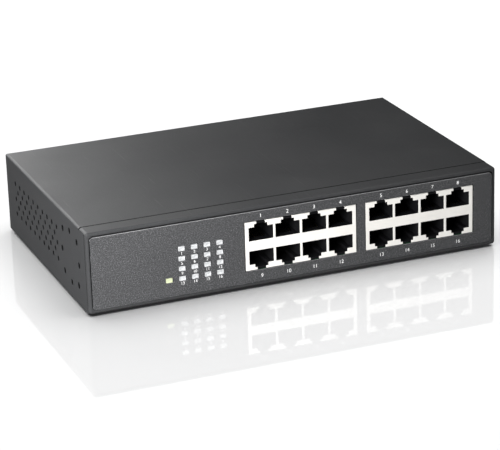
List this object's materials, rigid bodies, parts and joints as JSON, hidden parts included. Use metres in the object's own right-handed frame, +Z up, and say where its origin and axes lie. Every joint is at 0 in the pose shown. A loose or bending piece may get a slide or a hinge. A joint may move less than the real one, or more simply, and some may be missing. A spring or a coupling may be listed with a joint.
{
  "type": "desktop network switch",
  "caption": "Charcoal steel desktop network switch with two blocks of stacked RJ45 ports, a field of link lamps, vented side walls and a mains inlet.",
  "frame": {"origin": "on the desk plane under the middle of the case, at the underside of the rubber feet", "axes": "+X to the right as one faces the ports, +Y from the ports to the rear, +Z up"},
  "size_m": [0.215, 0.135, 0.042],
  "materials": {
    "case_paint": "smooth charcoal powder coat",
    "film": "finely grained charcoal film",
    "shield": "tin-plated, soft shine",
    "jack_plastic": "black moulded",
    "gold": "gold-plated",
    "lamp_white": "milky, unlit",
    "lamp_lit": "milky, lit pale green",
    "holder_black": "black moulded",
    "board_green": "solder mask",
    "chip_black": "moulded epoxy",
    "module_black": "moulded epoxy",
    "screw_steel": "zinc-plated",
    "standoff_brass": "plain",
    "sink_black": "black anodised",
    "sink_plain": "plain",
    "crystal_can": "drawn can",
    "ferrite": "ferrite",
    "tape_yellow": "polyester tape",
    "copper": "enamelled copper",
    "sleeve_black": "shrink sleeve",
    "fuse_brown": "moulded",
    "header_white": "nylon",
    "insulator": "polyester sheet",
    "inlet_black": "moulded nylon",
    "pin_plate": "nickel-plated",
    "wire_brown": "PVC",
    "wire_blue": "PVC",
    "wire_green": "PVC, green and yellow",
    "wire_red": "PVC",
    "wire_black": "PVC",
    "foot_rubber": "matt"
  },
  "bodies": {
    "root": {"board_screws": "screw_steel", "board_socket": "header_white", "board_standoffs": "standoff_brass", "bulk_capacitor": "sleeve_black", "chassis": "case_paint", "choke": "copper", "cover_screws": "screw_steel", "crystal": "crystal_can", "earth_lead": "wire_green", "earth_terminal": "pin_plate", "filter_capacitors": "sleeve_black", "flash_chip": "chip_black", "front_overlay": "film", "fuse": "fuse_brown", "ground_screw": "screw_steel", "ground_washer": "screw_steel", "heatsink": "sink_black", "inlet_body": "inlet_black", "inlet_pins": "pin_plate", "inlet_screws": "screw_steel", "jack_contacts_left": "gold", "jack_contacts_right": "gold", "jack_housing_left": "jack_plastic", "jack_housing_right": "jack_plastic", "jack_shield_left": "shield", "jack_shield_right": "shield", "lamp_holders": "holder_black", "lamp_lenses": "lamp_white", "live_lead": "wire_brown", "magnetics": "module_black", "main_board": "board_green", "mains_header": "header_white", "neutral_lead": "wire_blue", "output_capacitors": "sleeve_black", "phy_chips": "chip_black", "power_coil": "ferrite", "power_lamp_holder": "holder_black", "power_lamp_lens": "lamp_lit", "power_transistor": "chip_black", "rubber_feet": "foot_rubber", "supply_board": "board_green", "supply_heatsink": "sink_plain", "supply_insulator": "insulator", "supply_lead_minus": "wire_black", "supply_lead_plus": "wire_red", "supply_screws": "screw_steel", "supply_socket": "header_white", "supply_standoffs": "standoff_brass", "switch_chip": "chip_black", "top_cover": "case_paint", "transformer_core": "ferrite", "transformer_winding": "tape_yellow"}
  },
  "joints": []
}
